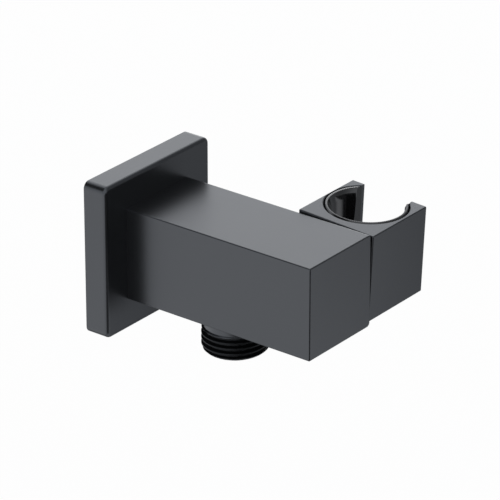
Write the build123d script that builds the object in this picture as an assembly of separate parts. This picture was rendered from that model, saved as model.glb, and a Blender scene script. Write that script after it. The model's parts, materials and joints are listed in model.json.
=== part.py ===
from build123d import *
import os

# A wall outlet for a hand shower, with a holder on its side, in millimetres.
# Origin: middle of the wall plate's back face. The wall is the plane y = 0,
# the arm runs out along -Y, the holder is on the +X side and +Z is up.

# Wall plate: a square shell, open at the back, with a round hole for the arm
plate_size = 50.5
plate_depth = 8.3
plate_corner_radius = 2.2
plate_edge_radius = 1.2
plate_front_wall = 3.2
plate_rim = 5.0

# Foam gasket, in a step of the plate's back
gasket_thickness = 1.6
gasket_width = 4.0
gasket_clearance = 0.1

# Arm: a square bar with a round spigot that passes through the plate
arm_size = 30.4
arm_length = 69.4
arm_sharp_edge = 0.4
arm_top_round = 1.0
arm_bottom_round = 1.4
spigot_radius = 12.5
spigot_clearance = 0.15
spigot_end_gap = 0.2
plate_ring_section = 1.8
ring_groove_play = 0.4

# Wall nipple: outer pipe thread, collar, and a sleeve that the arm is pushed over
thread_radius = 10.4775
thread_chamfer = 1.0
wall_thread_length = 10.0
collar_radius = 11.8
collar_thickness = 2.0
sleeve_radius = 7.95
sleeve_length = 23.0
sleeve_clearance = 0.05
sleeve_chamfer = 0.6
nipple_bore_radius = 4.5
nipple_hex = 10.0
nipple_hex_depth = 7.0
sleeve_ring_section = 1.6
sleeve_ring_first = 6.0
sleeve_ring_pitch = 4.6
lock_groove_depth = 0.8
lock_groove_width = 3.4
lock_groove_from_collar = 15.6

# Grub screw that locks the arm on the sleeve, from below
grub_radius = 2.5
grub_point_radius = 1.5
grub_hex = 2.5
grub_hex_depth = 2.4
grub_recess = 0.8
grub_chamfer = 0.4

# Water way and hose outlet
channel_radius = 6.0
channel_past_outlet = 6.4
outlet_from_wall = 38.1
outlet_drop = 13.1
outlet_stem_radius = 8.0
outlet_stem_length = 9.0
outlet_hex = 12.0
outlet_hex_depth = 6.0
outlet_ring_section = 1.8
seat_clearance = 0.02

# Holder: a block that turns about the pivot, with a plastic liner in its bore
block_width = 27.6
block_height = 28.9
block_thin_wall = 0.25
block_edge_radius = 0.4
block_gap = 0.15
block_above_arm_middle = 0.8
holder_tilt = 2.7
bore_radius = 13.25
bore_behind_middle = 0.45
bore_from_arm_face = 16.4
slot_width = 18.0
rim_chamfer = 0.25

# Liner: a C-shaped sleeve with a tapered socket for the hand shower's handle
liner_clearance = 0.03
liner_wall = 1.4
liner_taper = 1.35
liner_groove_width = 0.65
liner_land_height = 1.3
liner_lip = 0.4
liner_lip_height = 0.35
liner_lead_in = 0.8

# Pivot: a shoulder screw through the block's inner wall into the arm's side
pivot_thread_radius = 2.5
pivot_thread_length = 10.0
pivot_shoulder_radius = 3.0
pivot_head_radius = 4.2
pivot_head_height = 1.5
pivot_hex = 3.0
pivot_hex_depth = 1.1
pivot_end_chamfer = 0.5
pivot_head_chamfer = 0.3
pivot_clearance = 0.05
web_thickness = 1.2
pocket_radius = 5.6
bush_flange_radius = 9.0
bush_flange_thickness = 1.2
bush_wall = 0.8
disc_spring_height = 0.6
disc_spring_thickness = 0.35
disc_spring_radius = 5.3
washer_thickness = 0.5
washer_radius = 5.0
head_to_liner = 0.15

# How far a cutting shape reaches past the face that it cuts through
past_face = 1.0

# Places that follow from the sizes
arm_half = arm_size / 2
plate_front = -plate_depth
arm_end = plate_front - arm_length
plate_floor = plate_front + plate_front_wall
outlet_y = -outlet_from_wall
spigot_back = -(collar_thickness + spigot_end_gap)
sleeve_front = -(collar_thickness + sleeve_length)
inlet_bore_radius = sleeve_radius + sleeve_clearance
lock_y = -(collar_thickness + lock_groove_from_collar)
lock_groove_radius = sleeve_radius - lock_groove_depth
outlet_bottom = -(arm_half + outlet_drop)

# The block's middle lies on the pivot axis, and its front is flush with the arm's end.
# Its depth leaves the thin wall behind the bore, and the bore lies a little behind its middle.
block_depth = 2 * (bore_radius + bore_behind_middle + block_thin_wall)
pivot_y = arm_end + block_depth / 2
pivot_z = block_above_arm_middle
block_face = arm_half + block_gap
bore_x = block_face + bore_from_arm_face
bore_y = pivot_y + bore_behind_middle
bush_seat = block_face - bush_flange_thickness
web_inner = block_face + web_thickness
spring_outer = web_inner + disc_spring_height
head_seat = spring_outer + washer_thickness
head_outer = head_seat + pivot_head_height
block_top = pivot_z + block_height / 2
block_bottom = pivot_z - block_height / 2
pivot_axis = Axis((0, pivot_y, pivot_z), (1, 0, 0))


def rod_x(radius, x_from, x_to, y, z):
    """A round bar along X."""
    plane = Plane(origin=(x_from, y, z), x_dir=(0, 1, 0), z_dir=(1, 0, 0))
    return extrude(plane * Circle(radius), x_to - x_from)


def rod_y(radius, y_from, y_to, x=0.0, z=0.0):
    """A round bar along Y, from the lower to the higher y."""
    plane = Plane(origin=(x, y_from, z), x_dir=(1, 0, 0), z_dir=(0, 1, 0))
    return extrude(plane * Circle(radius), y_to - y_from)


def rod_z(radius, z_from, z_to, x=0.0, y=0.0):
    """A round bar along Z, from the lower to the higher z."""
    return extrude(Plane((x, y, z_from)) * Circle(radius), z_to - z_from)


def hex_bar(across_flats, start, direction, length):
    """A six-sided bar, for the sockets that a key fits in."""
    section = RegularPolygon(across_flats / 2, 6, major_radius=False)
    return extrude(Plane(origin=start, z_dir=direction) * section, length)


def ring(inner_radius, section, centre, direction):
    """A round seal, named by its inner radius and the thickness of its section."""
    middle = inner_radius + section / 2
    return Plane(origin=centre, z_dir=direction) * Torus(middle, section / 2)


def square_ring(outer, inner, y_from, y_to):
    """A flat square frame between two planes across Y."""
    plane = Plane(origin=(0, y_from, 0), x_dir=(1, 0, 0), z_dir=(0, 1, 0))
    return extrude(plane * (Rectangle(outer, outer) - Rectangle(inner, inner)), y_to - y_from)


def chamfer_rim(part, axis, at_end, radius, length):
    """Bevel the round edge of one radius that lies nearest to one end of the part."""
    rims = [e for e in part.edges().filter_by(GeomType.CIRCLE) if abs(e.radius - radius) < 1e-4]
    rims.sort(key=lambda e: e.center().dot(Vector(*axis)))
    edge = rims[-1] if at_end else rims[0]
    return chamfer(edge, length)


def tilted(part):
    """Turn a piece of the holder about the pivot to the angle at which it stands."""
    return part.rotate(pivot_axis, holder_tilt)


def wall_plate():
    plane = Plane(origin=(0, plate_front, 0), x_dir=(1, 0, 0), z_dir=(0, 1, 0))
    plate = extrude(plane * RectangleRounded(plate_size, plate_size, plate_corner_radius), plate_depth)
    plate = fillet(plate.faces().sort_by(Axis.Y)[0].edges(), plate_edge_radius)
    step = plate_size - 2 * (plate_rim - gasket_width / 2)
    hollow = step - gasket_width
    plate -= Pos(0, (plate_floor - gasket_thickness) / 2, 0) * Box(
        hollow, -gasket_thickness - plate_floor, hollow)
    plate -= Pos(0, -gasket_thickness / 2, 0) * Box(step, gasket_thickness, step)
    return plate - rod_y(spigot_radius + spigot_clearance, plate_front - past_face, past_face)


def wall_gasket():
    step = plate_size - 2 * (plate_rim - gasket_width / 2)
    outer = step - 2 * gasket_clearance
    return square_ring(outer, outer - 2 * gasket_width, -gasket_thickness, 0)


def plate_ring_place():
    """Middle of the plate's front wall, and the radius of the groove's floor in the spigot."""
    middle = (plate_front + plate_floor) / 2
    floor = spigot_radius + spigot_clearance - plate_ring_section - seat_clearance
    return middle, floor


def plate_o_ring():
    middle, floor = plate_ring_place()
    return ring(floor + seat_clearance / 2, plate_ring_section, (0, middle, 0), (0, 1, 0))


def groove_y(outer, floor, y, width):
    """The material that a ring groove round the Y axis takes away."""
    return rod_y(outer + past_face, y - width / 2, y + width / 2) - rod_y(floor, y - width, y + width)


def long_edges(bar, side):
    """The edges along Y of one side of a bar, for +X or -X."""
    edges = bar.edges().filter_by(Axis.Y)
    return edges.filter_by(lambda e: e.center().X * side > 0)


def arm_body():
    middle_y = (plate_front + arm_end) / 2
    arm = Pos(0, middle_y, 0) * Box(arm_size, arm_length, arm_size)
    arm = fillet(long_edges(arm, 1).sort_by(Axis.Z)[-1], arm_top_round)
    arm = fillet(long_edges(arm, 1).sort_by(Axis.Z)[0], arm_bottom_round)
    end = arm.faces().sort_by(Axis.Y)[0].edges()
    arm = fillet(long_edges(arm, -1) + end, arm_sharp_edge)
    arm += rod_y(spigot_radius, plate_front, spigot_back)
    middle, floor = plate_ring_place()
    arm -= groove_y(spigot_radius, floor, middle, plate_ring_section + ring_groove_play)
    # the sleeve's bore, the water way, and the outlet's hole with the seat of its seal
    arm -= rod_y(inlet_bore_radius, sleeve_front - past_face, past_face)
    arm -= rod_y(channel_radius, outlet_y - channel_past_outlet, sleeve_front)
    stem_top = -arm_half + outlet_stem_length
    arm -= rod_z(channel_radius, stem_top, 0, 0, outlet_y)
    below = -arm_half - past_face
    arm -= rod_z(outlet_stem_radius + seat_clearance, below, stem_top + seat_clearance, 0, outlet_y)
    seat = outlet_stem_radius + outlet_ring_section + 3 * seat_clearance
    arm -= rod_z(seat, below, -arm_half + outlet_ring_section + seat_clearance, 0, outlet_y)
    # the grub screw's hole, up to the sleeve, and the pivot's hole and recess
    arm -= rod_z(grub_radius + seat_clearance, below, 0, 0, lock_y)
    recess = bush_flange_radius + pivot_clearance
    arm -= rod_x(recess, bush_seat, arm_half + past_face, pivot_y, pivot_z)
    thread_end = bush_seat - pivot_thread_length
    arm -= rod_x(pivot_thread_radius + seat_clearance, thread_end - past_face, arm_half, pivot_y, pivot_z)
    return arm


def wall_nipple():
    body = rod_y(thread_radius, 0, wall_thread_length)
    body = chamfer_rim(body, (0, 1, 0), True, thread_radius, thread_chamfer)
    body += rod_y(collar_radius, -collar_thickness, 0)
    sleeve = rod_y(sleeve_radius, sleeve_front, -collar_thickness)
    body += chamfer_rim(sleeve, (0, 1, 0), False, sleeve_radius, sleeve_chamfer)
    for y in sleeve_ring_places():
        body -= groove_y(sleeve_radius, sleeve_ring_floor(), y, sleeve_ring_section + ring_groove_play)
    body -= groove_y(sleeve_radius, lock_groove_radius, lock_y, lock_groove_width)
    body -= rod_y(nipple_bore_radius, sleeve_front - past_face, wall_thread_length + past_face)
    socket_end = (0, sleeve_front + nipple_hex_depth, 0)
    return body - hex_bar(nipple_hex, socket_end, (0, -1, 0), nipple_hex_depth + past_face)


def sleeve_ring_places():
    first = -(collar_thickness + sleeve_ring_first)
    return [first - k * sleeve_ring_pitch for k in range(2)]


def sleeve_ring_floor():
    return inlet_bore_radius - sleeve_ring_section - seat_clearance


def sleeve_o_ring(y):
    return ring(sleeve_ring_floor() + seat_clearance / 2, sleeve_ring_section, (0, y, 0), (0, 1, 0))


def grub_screw():
    tip = -lock_groove_radius - seat_clearance
    shoulder = -inlet_bore_radius
    bottom = -arm_half + grub_recess
    screw = rod_z(grub_radius, bottom, shoulder, 0, lock_y)
    screw = chamfer_rim(screw, (0, 0, 1), False, grub_radius, grub_chamfer)
    screw += rod_z(grub_point_radius, shoulder, tip, 0, lock_y)
    socket_end = (0, lock_y, bottom + grub_hex_depth)
    return screw - hex_bar(grub_hex, socket_end, (0, 0, -1), grub_hex_depth + past_face)


def outlet_nipple():
    pipe = rod_z(thread_radius, outlet_bottom, -arm_half, 0, outlet_y)
    pipe = chamfer_rim(pipe, (0, 0, 1), False, thread_radius, thread_chamfer)
    pipe += rod_z(outlet_stem_radius, -arm_half, -arm_half + outlet_stem_length, 0, outlet_y)
    pipe -= rod_z(channel_radius, outlet_bottom - past_face, 0, 0, outlet_y)
    socket_end = (0, outlet_y, outlet_bottom + outlet_hex_depth)
    return pipe - hex_bar(outlet_hex, socket_end, (0, 0, -1), outlet_hex_depth + past_face)


def outlet_o_ring():
    middle = -arm_half + outlet_ring_section / 2
    inner = outlet_stem_radius + seat_clearance
    return ring(inner, outlet_ring_section, (0, outlet_y, middle), (0, 0, 1))


def slot_cutter(width):
    """A box that opens the block's bore, or the liner, to the +X side."""
    far = max(block_face + block_width, bore_x + bore_radius)
    reach = far - bore_x + past_face
    return Pos(bore_x + reach / 2, bore_y, pivot_z) * Box(reach, width, block_height + 2 * past_face)


def holder_block():
    middle_x = block_face + block_width / 2
    block = Pos(middle_x, pivot_y, pivot_z) * Box(block_width, block_depth, block_height)
    block = fillet(block.edges(), block_edge_radius)
    block -= rod_z(bore_radius, block_bottom - past_face, block_top + past_face, bore_x, bore_y)
    block -= slot_cutter(slot_width)
    for rim in (block_top, block_bottom):
        outward = 1 if rim > pivot_z else -1
        cone = Cone(bore_radius, bore_radius + 2 * rim_chamfer, 2 * rim_chamfer)
        place = Pos(bore_x, bore_y, rim) * (Rot(0, 0, 0) if outward > 0 else Rot(180, 0, 0))
        block -= place * cone
    block -= rod_x(pocket_radius, web_inner, bore_x, pivot_y, pivot_z)
    hole = pivot_shoulder_radius + 2 * pivot_clearance + bush_wall
    block -= rod_x(hole, block_face - past_face, bore_x, pivot_y, pivot_z)
    return tilted(block)


def holder_liner():
    outer = bore_radius - liner_clearance
    wall_top = block_top - liner_land_height
    land_radius = bore_radius - liner_groove_width
    socket_top = bore_radius - liner_wall
    socket_bottom = socket_top - liner_taper
    lip_floor = block_top - liner_lip_height
    lip_radius = socket_top + liner_lip
    points = [
        (socket_bottom, block_bottom),
        (outer, block_bottom),
        (outer, wall_top),
        (land_radius, wall_top),
        (land_radius, block_top),
        (lip_radius, block_top),
        (lip_radius, lip_floor),
        (socket_top, lip_floor - liner_lead_in),
    ]
    wall = make_face(Plane.XZ * Polyline(*points, close=True))
    liner = Pos(bore_x, bore_y, 0) * revolve(wall, Axis.Z)
    liner -= slot_cutter(slot_width)
    clear = pivot_head_radius + head_to_liner
    liner -= rod_x(clear, block_face, head_outer + head_to_liner, pivot_y, pivot_z)
    return tilted(liner)


def pivot_screw():
    y, z = pivot_y, pivot_z
    screw = rod_x(pivot_thread_radius, bush_seat - pivot_thread_length, bush_seat, y, z)
    screw = chamfer_rim(screw, (1, 0, 0), False, pivot_thread_radius, pivot_end_chamfer)
    screw += rod_x(pivot_shoulder_radius, bush_seat, head_seat, y, z)
    head = rod_x(pivot_head_radius, head_seat, head_outer, y, z)
    screw += chamfer_rim(head, (1, 0, 0), True, pivot_head_radius, pivot_head_chamfer)
    socket_end = (head_outer - pivot_hex_depth, y, z)
    return screw - hex_bar(pivot_hex, socket_end, (1, 0, 0), pivot_hex_depth + past_face)


def friction_bush():
    y, z = pivot_y, pivot_z
    inner = pivot_shoulder_radius + pivot_clearance
    bush = rod_x(bush_flange_radius, bush_seat, block_face, y, z)
    bush += rod_x(inner + bush_wall, block_face, web_inner - pivot_clearance, y, z)
    return bush - rod_x(inner, bush_seat - past_face, web_inner + past_face, y, z)


def disc_spring():
    inner = pivot_shoulder_radius + pivot_clearance
    rise = disc_spring_height - disc_spring_thickness
    points = [
        (disc_spring_radius, 0),
        (disc_spring_radius, disc_spring_thickness),
        (inner, disc_spring_height),
        (inner, rise),
    ]
    cone = revolve(make_face(Plane.XZ * Polyline(*points, close=True)), Axis.Z)
    return Plane(origin=(web_inner, pivot_y, pivot_z), z_dir=(1, 0, 0)) * cone


def pivot_washer():
    y, z = pivot_y, pivot_z
    inner = pivot_shoulder_radius + pivot_clearance
    washer = rod_x(washer_radius, spring_outer, head_seat, y, z)
    return washer - rod_x(inner, spring_outer - past_face, head_seat + past_face, y, z)


pieces = {
    "wall_plate": wall_plate(),
    "wall_gasket": wall_gasket(),
    "plate_o_ring": plate_o_ring(),
    "arm_body": arm_body(),
    "wall_nipple": wall_nipple(),
    "arm_grub_screw": grub_screw(),
    "outlet_nipple": outlet_nipple(),
    "outlet_o_ring": outlet_o_ring(),
    "holder_block": holder_block(),
    "holder_liner": holder_liner(),
    "pivot_screw": pivot_screw(),
    "friction_bush": friction_bush(),
    "disc_spring": disc_spring(),
    "pivot_washer": pivot_washer(),
}
for number, place in enumerate(sleeve_ring_places(), start=1):
    pieces[f"sleeve_o_ring_{number}"] = sleeve_o_ring(place)

os.makedirs("parts", exist_ok=True)
for name, shape in pieces.items():
    export_step(shape, f"parts/{name}.step")
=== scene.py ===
import json
from math import atan2, cos, hypot, pi, radians, sin, sqrt
import bmesh
import bpy
from mathutils import Matrix, Vector


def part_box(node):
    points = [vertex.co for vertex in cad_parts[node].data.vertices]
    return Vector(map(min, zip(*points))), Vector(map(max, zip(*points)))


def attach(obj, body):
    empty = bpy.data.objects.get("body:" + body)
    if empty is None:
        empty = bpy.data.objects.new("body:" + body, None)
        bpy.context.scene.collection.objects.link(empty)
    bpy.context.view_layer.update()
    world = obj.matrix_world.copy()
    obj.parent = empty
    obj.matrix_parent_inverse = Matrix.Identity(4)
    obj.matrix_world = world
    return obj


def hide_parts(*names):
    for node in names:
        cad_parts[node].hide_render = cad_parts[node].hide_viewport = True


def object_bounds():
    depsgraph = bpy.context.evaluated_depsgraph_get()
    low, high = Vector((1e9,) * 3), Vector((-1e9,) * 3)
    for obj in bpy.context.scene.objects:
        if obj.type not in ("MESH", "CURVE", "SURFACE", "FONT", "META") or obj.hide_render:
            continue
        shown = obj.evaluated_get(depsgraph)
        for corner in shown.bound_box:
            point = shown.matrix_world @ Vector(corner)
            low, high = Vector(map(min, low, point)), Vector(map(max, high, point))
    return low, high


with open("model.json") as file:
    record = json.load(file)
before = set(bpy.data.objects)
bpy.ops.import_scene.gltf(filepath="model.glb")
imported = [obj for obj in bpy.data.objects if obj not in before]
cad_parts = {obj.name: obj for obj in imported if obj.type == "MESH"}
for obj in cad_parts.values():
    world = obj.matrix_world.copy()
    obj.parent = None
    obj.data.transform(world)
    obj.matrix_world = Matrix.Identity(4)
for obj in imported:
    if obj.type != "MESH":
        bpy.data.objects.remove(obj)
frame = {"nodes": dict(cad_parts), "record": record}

mm = 0.001
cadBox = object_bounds()
print("frame loaded:", len(frame["nodes"]), "nodes")


# the camera stands where the photo was taken from; azimuth 0 would look along +Y
cameraSettings = {
    "target": (-2.434, -45.631, 7.458),
    "distance": 1127.85,
    "azimuth": -52.294,
    "elevation": 25.280,
    "lens": 270.37,
}


def makeCamera(s):
    azimuth = radians(s["azimuth"])
    elevation = radians(s["elevation"])
    ahead = Vector((-sin(azimuth) * cos(elevation), cos(azimuth) * cos(elevation), -sin(elevation)))
    data = bpy.data.cameras.new("photoCamera")
    data.lens = s["lens"]
    data.clip_start = 0.05
    data.clip_end = 20
    camera = bpy.data.objects.new("photoCamera", data)
    camera.location = (Vector(s["target"]) - ahead * s["distance"]) * mm
    camera.rotation_mode = "QUATERNION"
    camera.rotation_quaternion = ahead.to_track_quat("-Z", "Y")
    bpy.context.scene.collection.objects.link(camera)
    bpy.context.scene.camera = camera


makeCamera(cameraSettings)
bpy.context.scene.view_settings.view_transform = "Standard"
print("camera set")


# a socket that can be added, multiplied and so on, each time with a Math node
class Sock:
    def __init__(self, net, socket):
        self.net = net
        self.socket = socket

    def math(self, operation, first, second):
        return self.net.add("ShaderNodeMath", {"operation": operation}, {0: first, 1: second})

    def __add__(self, other):
        return self.math("ADD", self, other)

    def __radd__(self, other):
        return self.math("ADD", other, self)

    def __sub__(self, other):
        return self.math("SUBTRACT", self, other)

    def __rsub__(self, other):
        return self.math("SUBTRACT", other, self)

    def __mul__(self, other):
        return self.math("MULTIPLY", self, other)

    def __rmul__(self, other):
        return self.math("MULTIPLY", other, self)


# a node tree that is filled by one method
class Net:
    def __init__(self, tree):
        self.tree = tree
        tree.nodes.clear()

    def add(self, kind, settings, values, out=0):
        node = self.tree.nodes.new(kind)
        for key, value in settings.items():
            if key == "stops":
                self.setStops(node.color_ramp, value)
            else:
                setattr(node, key, value)
        for key, value in values.items():
            if isinstance(value, Sock):
                self.tree.links.new(value.socket, node.inputs[key])
            else:
                node.inputs[key].default_value = value
        if not node.outputs:
            return None
        return Sock(self, node.outputs[out])

    def setStops(self, ramp, stops):
        while len(ramp.elements) < len(stops):
            ramp.elements.new(1.0)
        for element, (position, colour) in zip(ramp.elements, stops):
            element.position = position
            element.color = colour

    def noise(self, coords, scale, detail=2.0, roughness=0.5):
        values = {"Vector": coords, "Scale": scale, "Detail": detail, "Roughness": roughness}
        return self.add("ShaderNodeTexNoise", {}, values)

    def mixColour(self, factor, first, second):
        settings = {"data_type": "RGBA", "clamp_factor": True}
        return self.add("ShaderNodeMix", settings, {0: factor, 6: first, 7: second}, out=2)

    # 0 to 1 between two places along a direction
    def along(self, coords, direction, start, end):
        values = {0: coords, 1: direction}
        place = self.add("ShaderNodeVectorMath", {"operation": "DOT_PRODUCT"}, values, out="Value")
        settings = {"interpolation_type": "SMOOTHSTEP"}
        return self.add("ShaderNodeMapRange", settings, {"Value": place, "From Min": start, "From Max": end})

    def bump(self, height, strength, distance, normal=None):
        values = {"Height": height, "Strength": strength, "Distance": distance}
        if normal is not None:
            values["Normal"] = normal
        return self.add("ShaderNodeBump", {}, values)


def grey(value, warm=0.0):
    return (value * (1 + warm), value, value * (1 - warm), 1.0)


def newMaterial(name):
    material = bpy.data.materials.new(name)
    material.use_nodes = True
    net = Net(material.node_tree)
    coords = net.add("ShaderNodeTexCoord", {}, {}, out="Object")
    return material, net, coords


def closeMaterial(net, values):
    shader = net.add("ShaderNodeBsdfPrincipled", {}, values)
    net.add("ShaderNodeOutputMaterial", {}, {"Surface": shader})


# satin black coat: a faint orange peel, fine grain, and slow patches of a slightly other grey
blackCoat = {
    "dark": grey(0.0018, -0.03),
    "light": grey(0.0038, -0.03),
    "reflection": 1.9,    # index of refraction: a dense coat that mirrors softly
    "reflectionTint": (0.90, 0.94, 1.0, 1.0),
    "patchScale": 45,
    "peelScale": 900,
    "grainScale": 5200,
    "roughness": 0.30,
    "roughnessSpread": 0.05,
    "peelHeight": 0.0000045,
    "grainHeight": 0.0000016,
}


def makeBlackCoat(s):
    material, net, coords = newMaterial("blackCoat")
    patches = net.noise(coords, s["patchScale"], detail=3.0)
    peel = net.noise(coords, s["peelScale"], detail=1.0)
    grain = net.noise(coords, s["grainScale"], detail=2.0)
    colour = net.mixColour(patches * 0.6 + grain * 0.4, s["dark"], s["light"])
    roughness = s["roughness"] + (grain - 0.5) * s["roughnessSpread"] + (patches - 0.5) * s["roughnessSpread"]
    peeled = net.bump(peel, 1.0, s["peelHeight"])
    grained = net.bump(grain, 1.0, s["grainHeight"], peeled)
    values = {"Base Color": colour, "Roughness": roughness, "Normal": grained}
    closeMaterial(net, values | {"IOR": s["reflection"], "Specular Tint": s["reflectionTint"]})
    return material


# the same coat on the hose thread is thinner and duller
threadCoat = blackCoat | {"reflection": 1.38, "roughness": 0.38}


# moulded black plastic of the liner: smoother than the coat, with a faint flow of the melt
linerPlastic = {
    "dark": grey(0.0045, -0.02),
    "light": grey(0.0085, -0.02),
    "reflection": 1.75,
    "flowScale": 120,
    "flowStretch": (1.0, 1.0, 0.25),
    "grainScale": 4200,
    "roughness": 0.12,
    "roughnessSpread": 0.05,
    "grainHeight": 0.0000006,
}


def makeLinerPlastic(s):
    material, net, coords = newMaterial("linerPlastic")
    stretched = net.add("ShaderNodeMapping", {}, {"Vector": coords, "Scale": s["flowStretch"]})
    flow = net.noise(stretched, s["flowScale"], detail=3.0, roughness=0.6)
    grain = net.noise(coords, s["grainScale"], detail=1.0)
    colour = net.mixColour(flow, s["dark"], s["light"])
    roughness = s["roughness"] + (flow - 0.5) * s["roughnessSpread"]
    normal = net.bump(grain, 1.0, s["grainHeight"])
    values = {"Base Color": colour, "Roughness": roughness, "Normal": normal}
    closeMaterial(net, values | {"IOR": s["reflection"]})
    return material


# turned brass: fine tool rings round the nipple's axis, and a little tarnish
turnedBrass = {
    "bright": (0.80, 0.58, 0.27, 1.0),
    "tarnished": (0.52, 0.34, 0.15, 1.0),
    "tarnishScale": 140,
    "ringPitch": 0.00018,
    "ringHeight": 0.000004,
    "roughness": 0.24,
    "roughnessSpread": 0.22,
}


def makeTurnedBrass(s):
    material, net, coords = newMaterial("turnedBrass")
    tarnish = net.noise(coords, s["tarnishScale"], detail=5.0, roughness=0.62)
    along = net.add("ShaderNodeSeparateXYZ", {}, {"Vector": coords}, out="Y")
    rings = net.add("ShaderNodeMath", {"operation": "SINE"}, {0: along * (2 * pi / s["ringPitch"])})
    spots = net.add("ShaderNodeValToRGB", {"stops": [(0.45, grey(0.0)), (0.72, grey(1.0))]}, {"Fac": tarnish})
    colour = net.mixColour(spots, s["bright"], s["tarnished"])
    roughness = s["roughness"] + tarnish * s["roughnessSpread"]
    normal = net.bump(rings, 1.0, s["ringHeight"])
    values = {"Base Color": colour, "Metallic": 1.0, "Roughness": roughness, "Normal": normal}
    closeMaterial(net, values)
    return material


# closed-cell foam of the gasket
gasketFoam = {
    "cell": grey(0.020),
    "wall": grey(0.060),
    "cellScale": 2600,
    "cellHeight": 0.00009,
    "roughness": 0.92,
}


def makeGasketFoam(s):
    material, net, coords = newMaterial("gasketFoam")
    cells = net.add("ShaderNodeTexVoronoi", {}, {"Vector": coords, "Scale": s["cellScale"]})
    colour = net.mixColour(cells * 1.4, s["cell"], s["wall"])
    normal = net.bump(cells, 0.8, s["cellHeight"])
    closeMaterial(net, {"Base Color": colour, "Roughness": s["roughness"], "Normal": normal})
    return material


# seal rubber, with a bloom of talc
sealRubber = {
    "rubber": grey(0.014),
    "bloom": grey(0.045),
    "bloomScale": 700,
    "roughness": 0.52,
    "roughnessSpread": 0.2,
}


def makeSealRubber(s):
    material, net, coords = newMaterial("sealRubber")
    bloom = net.noise(coords, s["bloomScale"], detail=4.0, roughness=0.6)
    colour = net.mixColour(bloom, s["rubber"], s["bloom"])
    roughness = s["roughness"] + bloom * s["roughnessSpread"]
    closeMaterial(net, {"Base Color": colour, "Roughness": roughness})
    return material


# plain steel of the pivot's screw, washer and spring
plainSteel = {
    "bright": (0.62, 0.62, 0.60, 1.0),
    "dull": (0.42, 0.42, 0.42, 1.0),
    "dullScale": 500,
    "scratchScale": 2400,
    "scratchStretch": (0.06, 1.0, 1.0),
    "scratchHeight": 0.000002,
    "roughness": 0.26,
    "roughnessSpread": 0.16,
}


def makePlainSteel(s):
    material, net, coords = newMaterial("plainSteel")
    dull = net.noise(coords, s["dullScale"], detail=3.0)
    stretched = net.add("ShaderNodeMapping", {}, {"Vector": coords, "Scale": s["scratchStretch"]})
    scratches = net.noise(stretched, s["scratchScale"], detail=2.0)
    colour = net.mixColour(dull, s["bright"], s["dull"])
    roughness = s["roughness"] + scratches * s["roughnessSpread"]
    normal = net.bump(scratches, 1.0, s["scratchHeight"])
    values = {"Base Color": colour, "Metallic": 1.0, "Roughness": roughness, "Normal": normal}
    closeMaterial(net, values)
    return material


# white sliding plastic of the pivot's bush
bushPlastic = {
    "light": (0.78, 0.77, 0.73, 1.0),
    "dark": (0.66, 0.65, 0.61, 1.0),
    "cloudScale": 260,
    "roughness": 0.36,
    "roughnessSpread": 0.1,
}


def makeBushPlastic(s):
    material, net, coords = newMaterial("bushPlastic")
    clouds = net.noise(coords, s["cloudScale"], detail=3.0)
    colour = net.mixColour(clouds, s["light"], s["dark"])
    roughness = s["roughness"] + clouds * s["roughnessSpread"]
    closeMaterial(net, {"Base Color": colour, "Roughness": roughness})
    return material


# each material slot of the record gets its finish
finishes = {
    "black_coating": makeBlackCoat(blackCoat),
    "liner_plastic": makeLinerPlastic(linerPlastic),
    "raw_brass": makeTurnedBrass(turnedBrass),
    "gasket_foam": makeGasketFoam(gasketFoam),
    "seal_rubber": makeSealRubber(sealRubber),
    "bare_steel": makePlainSteel(plainSteel),
    "bush_plastic": makeBushPlastic(bushPlastic),
}


def dress(thing, slotName):
    thing.data.materials.clear()
    thing.data.materials.append(finishes[slotName])


for entry in frame["record"]["subparts"]:
    dress(frame["nodes"][entry["node"]], entry["material_slot"])
print("finishes on", len(frame["nodes"]), "nodes")


# half inch pipe thread, 14 turns to the inch, as in part.py; lengths in millimetres
pipeThread = {
    "radius": 10.4775,
    "pitch": 25.4 / 14,
    "depth": 1.1617,
    "flat": 0.16,          # share of half a turn that is crest or root
    "ringsPerTurn": 24,
    "columns": 120,
}


def threadRadius(s, z, angle):
    turn = (z / s["pitch"] - angle / (2 * pi)) % 1.0
    climb = (1 - abs(2 * turn - 1) - s["flat"]) / (1 - 2 * s["flat"])
    climb = min(1.0, max(0.0, climb))
    return s["radius"] - s["depth"] * (1 - climb * climb * (3 - 2 * climb))


def threadRings(thread, start, end):
    count = round((end - start) / thread["pitch"] * thread["ringsPerTurn"])
    return [(thread["radius"], start + (end - start) * k / count) for k in range(count + 1)]


# a finished mesh takes the place of its CAD node
def addPiece(name, bm, s):
    mesh = bpy.data.meshes.new(name)
    bm.to_mesh(mesh)
    bm.free()
    mesh.shade_smooth()
    mesh.set_sharp_from_angle(angle=radians(s["sharpFrom"]))
    piece = bpy.data.objects.new(name, mesh)
    bpy.context.scene.collection.objects.link(piece)
    for finish in s["finishes"]:
        piece.data.materials.append(finish)
    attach(piece, s["body"])
    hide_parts(s["node"])


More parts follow.
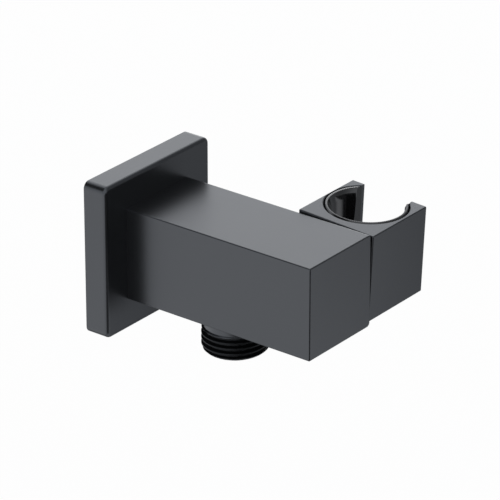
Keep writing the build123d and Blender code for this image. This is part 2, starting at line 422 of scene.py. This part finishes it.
def turnedNipple(name, s, thread):
    # the outline goes out along the thread and comes back through the bore, then it is spun round Z
    near = 0.0001
    rings = threadRings(thread, s["threadFrom"], s["length"])
    outline = s["before"] + rings + s["after"]
    bm = bmesh.new()
    verts = [bm.verts.new((radius, 0.0, z)) for radius, z in outline]
    edges = [bm.edges.new((a, b)) for a, b in zip(verts, verts[1:] + verts[:1])]
    bmesh.ops.spin(bm, geom=verts + edges, axis=(0, 0, 1), cent=(0, 0, 0), angle=2 * pi,
                   steps=thread["columns"], use_merge=True)
    hexRadius = s["hexAcross"] / 2
    for vert in bm.verts:
        x, y, z = vert.co
        radius = hypot(x, y)
        angle = atan2(y, x)
        wanted = radius
        if abs(radius - thread["radius"]) < near and z >= s["threadFrom"]:
            runOut = min(1.0, (z - s["threadFrom"]) / s["runOut"])
            cut = threadRadius(thread, z, angle)
            wanted = s["neckRadius"] + (cut - s["neckRadius"]) * runOut
            pastChamfer = max(0.0, z - s["length"] + s["chamfer"])
            wanted = min(wanted, thread["radius"] - pastChamfer * s["chamferSlope"])
        elif abs(radius - hexRadius) < near and s["hexFrom"] - near < z < s["hexTo"] + near:
            wanted = hexRadius / cos((angle + pi / 6) % (pi / 3) - pi / 6)
        vert.co = (x * wanted / radius, y * wanted / radius, z)
    lastFinish = len(s["finishes"]) - 1
    for face in bm.faces:
        onThread = face.calc_center_median().z > s["threadFrom"] + s["runOut"]
        face.material_index = lastFinish if onThread else 0
    bmesh.ops.recalc_face_normals(bm, faces=bm.faces)
    bmesh.ops.scale(bm, vec=(mm, mm, mm), verts=bm.verts)
    bmesh.ops.transform(bm, matrix=s["place"], verts=bm.verts)
    addPiece(name, bm, s)


# hose outlet under the arm; it is drawn upwards and turned over, with 0 at the arm's underside
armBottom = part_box("arm_body")[0].z
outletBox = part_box("outlet_nipple")
outletLength = (armBottom - outletBox[0].z) / mm
outletMiddle = (outletBox[0] + outletBox[1]) / 2
outletSettings = {
    "node": "outlet_nipple",
    "body": "arm",
    "slot": "black_coating",
    "finishes": [finishes["black_coating"], makeBlackCoat(threadCoat)],    # neck, then thread
    "sharpFrom": 38,
    "length": outletLength,
    "neckRadius": 9.75,
    "threadFrom": 5.0,
    "runOut": 1.0,
    "chamfer": 1.0,
    "chamferSlope": 1.0,
    "hexAcross": 12.0,
    "hexFrom": outletLength - 6.0,
    "hexTo": outletLength,
    "before": [(8.0, -9.0), (8.0, 0.0), (9.75, 0.0), (9.75, 4.9)],
    "after": [
        (6.0, outletLength),
        (6.0, outletLength - 6.0),
        (5.9, outletLength - 6.0),
        (5.9, -9.0),
    ],
    "place": Matrix.Translation((outletMiddle.x, outletMiddle.y, armBottom)) @ Matrix.Rotation(pi, 4, "X"),
}
turnedNipple("outletNippleThreaded", outletSettings, pipeThread)

# wall nipple: its thread goes into the wall, and its grooved sleeve sits in the arm
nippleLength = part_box("wall_nipple")[1].y / mm
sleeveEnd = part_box("wall_nipple")[0].y / mm


def grooved(radius, floor, middle, width):
    return [(radius, middle - width / 2), (floor, middle - width / 2),
            (floor, middle + width / 2), (radius, middle + width / 2)]


wallSettings = {
    "node": "wall_nipple",
    "body": "arm",
    "slot": "raw_brass",
    "finishes": [finishes["raw_brass"]],
    "sharpFrom": 38,
    "length": nippleLength,
    "neckRadius": 9.3,
    "threadFrom": 0.6,
    "runOut": 0.4,
    "chamfer": 1.0,
    "chamferSlope": 1.0,
    "hexAcross": 10.0,
    "hexFrom": sleeveEnd,
    "hexTo": sleeveEnd + 7.0,
    "before": [
        (5.0, sleeveEnd),
        (7.35, sleeveEnd),
        (7.95, sleeveEnd + 0.6),
        *grooved(7.95, 7.15, -17.6, 3.4),
        *grooved(7.95, 6.38, -12.6, 2.0),
        *grooved(7.95, 6.38, -8.0, 2.0),
        (7.95, -2.0),
        (11.8, -2.0),
        (11.8, 0.0),
        (9.3, 0.0),
        (9.3, 0.5),
    ],
    "after": [(4.5, nippleLength), (4.5, sleeveEnd + 7.0), (5.0, sleeveEnd + 7.0)],
    "place": Matrix.Rotation(-pi / 2, 4, "X"),
}
turnedNipple("wallNippleThreaded", wallSettings, pipeThread)
print("threads cut")


# the liner's mouth as it is moulded: a flat ring, a step and a short slope, and a groove that ends short of
# the slot. Heights are above the pivot, in the block's own tilted frame, as in part.py; millimetres.
linerShape = {
    "node": "holder_liner",
    "body": "holder",
    "slot": "liner_plastic",
    "finishes": [finishes["liner_plastic"]],
    "sharpFrom": 30,
    "tilt": 2.7,
    "boreMiddle": (31.75, 0.45, 0.0),
    "solidInside": [(10.5, -14.45), (11.85, 13.3), (12.25, 14.1), (12.25, 14.45)],    # radius, height
    "mouldedInside": [(10.5, -14.45), (11.6, 13.8), (12.0, 14.2), (12.0, 14.45)],
    "grooveFloor": 13.15,
    "grooveEnd": 14.25,
    "slotWidth": 18.0,
    "grooveEndLength": 0.35,
    "chordSag": 0.08,    # how far the solid's mesh may lie inside its true outline
    "near": 0.02,
}


# where a point on the outline of the solid's inside belongs on the moulded one
def onOutline(point, s):
    solid = s["solidInside"]
    moulded = s["mouldedInside"]
    for start, end, newStart, newEnd in zip(solid, solid[1:], moulded, moulded[1:]):
        start = Vector(start)
        run = Vector(end) - start
        share = (point - start).dot(run) / run.length_squared
        nearest = start + run * share
        if -0.001 < share < 1.001 and (nearest - point).length < s["chordSag"]:
            return nearest, Vector(newStart).lerp(Vector(newEnd), share)
    return None


def inMouth(face, s):
    middle = face.calc_center_median()
    return middle.x > 0 and middle.z > s["grooveFloor"] - s["near"]


def mouldedLiner(name, s):
    pivot = Vector(frame["record"]["behaviour"]["joints"][0]["pos_m"])
    pivot.x = 0.0
    tilt = Matrix.Rotation(radians(s["tilt"]), 4, "X")
    place = Matrix.Translation(pivot) @ tilt @ Matrix.Translation(Vector(s["boreMiddle"]) * mm)
    place = place @ Matrix.Scale(mm, 4)
    bm = bmesh.new()
    bm.from_mesh(frame["nodes"][s["node"]].data)
    bmesh.ops.remove_doubles(bm, verts=bm.verts, dist=0.000001)
    bmesh.ops.transform(bm, matrix=place.inverted(), verts=bm.verts)
    slotHalf = s["slotWidth"] / 2
    for side in (-1, 1):
        mouth = [face for face in bm.faces if inMouth(face, s)]
        for parts in (bm.edges, bm.verts):
            mouth += [part for part in parts if any(inMouth(face, s) for face in part.link_faces)]
        plane = (0, side * (slotHalf + s["grooveEndLength"]), 0)
        bmesh.ops.bisect_plane(bm, geom=mouth, plane_co=plane, plane_no=(0, 1, 0))
    moved = 0
    for vert in bm.verts:
        x, y, z = vert.co
        radius = hypot(x, y)
        atSlot = x > 0 and abs(abs(y) - slotHalf) < s["near"]
        found = onOutline(Vector((radius, z)), s)
        if found:
            old, new = found
            growth = new.x / old.x
            vert.co = (x * growth, y * growth, new.y)
            if atSlot:
                vert.co = (sqrt((radius * growth) ** 2 - y * y), y, new.y)
            moved += 1
        elif atSlot and abs(z - s["grooveFloor"]) < s["near"]:
            vert.co.z = s["grooveEnd"]
            moved += 1
    bmesh.ops.transform(bm, matrix=place, verts=bm.verts)
    addPiece(name, bm, s)
    print("liner shaped:", moved, "corners moved")


mouldedLiner("holderLinerMoulded", linerShape)


# studio: a pale floor below the part, one soft lamp, and a surround. The camera sees floor and surround as
# white. The part mirrors them in greys, which give each face its tone in the photo.
# The floor's greys in mirrors are painted shade: mirror rays see the floor glow in a gradient from light
# through darker greys to near black.
lampSettings = {
    "name": "softBox",
    "place": (0.86, 0.66, 0.52),
    "size": 1.2,
    "watts": 2.3,
}

floorSettings = {
    "drop": 90,
    "size": 6.0,
    "colour": grey(0.90),
    "whiteness": 0.97,
    "across": (0.79, -0.61, 0.0),     # to the camera's right
    "paintedShadeFade": (-0.13, -0.03),           # metres, from light to dark painted shade, which only mirrors show
    "away": (0.61, 0.79, 0.0),        # from the camera
    "paintedShadeBlend": (-0.075, 0.005),        # painted deeper shade for mirrors; the wall plate's front mirrors this
    "paintedNearShade": (-0.11, -0.18),     # painted near-black shade for mirrors; the arm's front edge mirrors this
    # painted shade that the floor shows only to mirror rays, from light through darker greys to near black
    "light": (0.97, 0.985, 1.02, 1.0),
    "dark": (0.72, 0.74, 0.775, 1.0),
    "paintedDeepShade": (0.22, 0.23, 0.245, 1.0),
    "near": grey(0.03),
}

surroundSettings = {
    "colour": (0.77, 0.795, 0.84, 1.0),
    "strength": 1.0,
    "flags": [            # dark cards; edge and full are cosines of the angle from their middle
        {"towards": (0.70, -0.60, 0.40), "edge": 0.40, "full": 0.95, "shade": 0.68},
        {"towards": (-0.43, 0.55, 0.72), "edge": 0.85, "full": 0.96, "shade": 0.98},
    ],
    "glow": {"towards": (0.83, 0.55, 0.06), "edge": 0.93, "full": 0.99, "colour": (1.5, 1.52, 1.55, 1.0)},
}


def makeLamp(s, aim):
    data = bpy.data.lights.new(s["name"], "AREA")
    data.shape = "SQUARE"
    data.size = s["size"]
    data.energy = s["watts"]
    lamp = bpy.data.objects.new(s["name"], data)
    lamp.location = s["place"]
    lamp.rotation_mode = "QUATERNION"
    lamp.rotation_quaternion = (aim - Vector(s["place"])).to_track_quat("-Z", "Y")
    bpy.context.scene.collection.objects.link(lamp)


def makeFloor(s):
    bm = bmesh.new()
    height = cadBox[0].z - s["drop"] * mm
    bmesh.ops.create_grid(bm, x_segments=1, y_segments=1, size=s["size"] / 2)
    bmesh.ops.translate(bm, vec=(0, 0, height), verts=bm.verts)
    mesh = bpy.data.meshes.new("floor")
    bm.to_mesh(mesh)
    bm.free()
    floor = bpy.data.objects.new("floor", mesh)
    bpy.context.scene.collection.objects.link(floor)
    material, net, coords = newMaterial("floorWithPaintedMirrorShade")
    path = net.add("ShaderNodeLightPath", {}, {}, out="Is Camera Ray")
    behind = net.add("ShaderNodeNewGeometry", {}, {}, out="Backfacing")
    lit = net.add("ShaderNodeBsdfDiffuse", {}, {"Color": s["colour"]})
    mirrored = net.add("ShaderNodeLightPath", {}, {}, out="Is Glossy Ray")
    # painted shade for mirror rays: along these directions the floor glows from light through darker greys to
    # near black
    paintedShadeFade = net.along(coords, s["across"], *s["paintedShadeFade"])
    paintedShadeBlend = net.along(coords, s["away"], *s["paintedShadeBlend"])
    near = net.along(coords, s["away"], *s["paintedNearShade"])
    dark = net.mixColour(paintedShadeBlend, s["dark"], s["paintedDeepShade"])
    dark = net.mixColour(near, dark, s["near"])
    shown = net.mixColour(mirrored, grey(1.0), net.mixColour(paintedShadeFade, s["light"], dark))
    # this glow is white to the camera and painted shade to mirror rays
    white = net.add("ShaderNodeEmission", {}, {"Color": shown})
    clear = net.add("ShaderNodeBsdfTransparent", {}, {})
    top = net.add("ShaderNodeMixShader", {}, {0: (path + mirrored) * s["whiteness"], 1: lit, 2: white})
    both = net.add("ShaderNodeMixShader", {}, {0: path * behind, 1: top, 2: clear})
    net.add("ShaderNodeOutputMaterial", {}, {"Surface": both})
    mesh.materials.append(material)


def makeSurround(s):
    world = bpy.data.worlds.new("surround")
    world.use_nodes = True
    bpy.context.scene.world = world
    net = Net(world.node_tree)
    direction = net.add("ShaderNodeTexCoord", {}, {}, out="Generated")
    around = s["colour"]
    for flag in s["flags"]:
        cover = net.along(direction, Vector(flag["towards"]).normalized(), flag["edge"], flag["full"])
        around = net.mixColour(cover * flag["shade"], around, grey(0.0))
    glow = s["glow"]
    lit = net.along(direction, Vector(glow["towards"]).normalized(), glow["edge"], glow["full"])
    around = net.mixColour(lit, around, glow["colour"])
    seen = net.add("ShaderNodeLightPath", {}, {}, out="Is Camera Ray")
    colour = net.mixColour(seen, around, grey(1.0))
    back = net.add("ShaderNodeBackground", {}, {"Color": colour, "Strength": s["strength"]})
    net.add("ShaderNodeOutputWorld", {}, {"Surface": back})


makeLamp(lampSettings, (cadBox[0] + cadBox[1]) / 2)
makeFloor(floorSettings)
makeSurround(surroundSettings)
print("studio set")
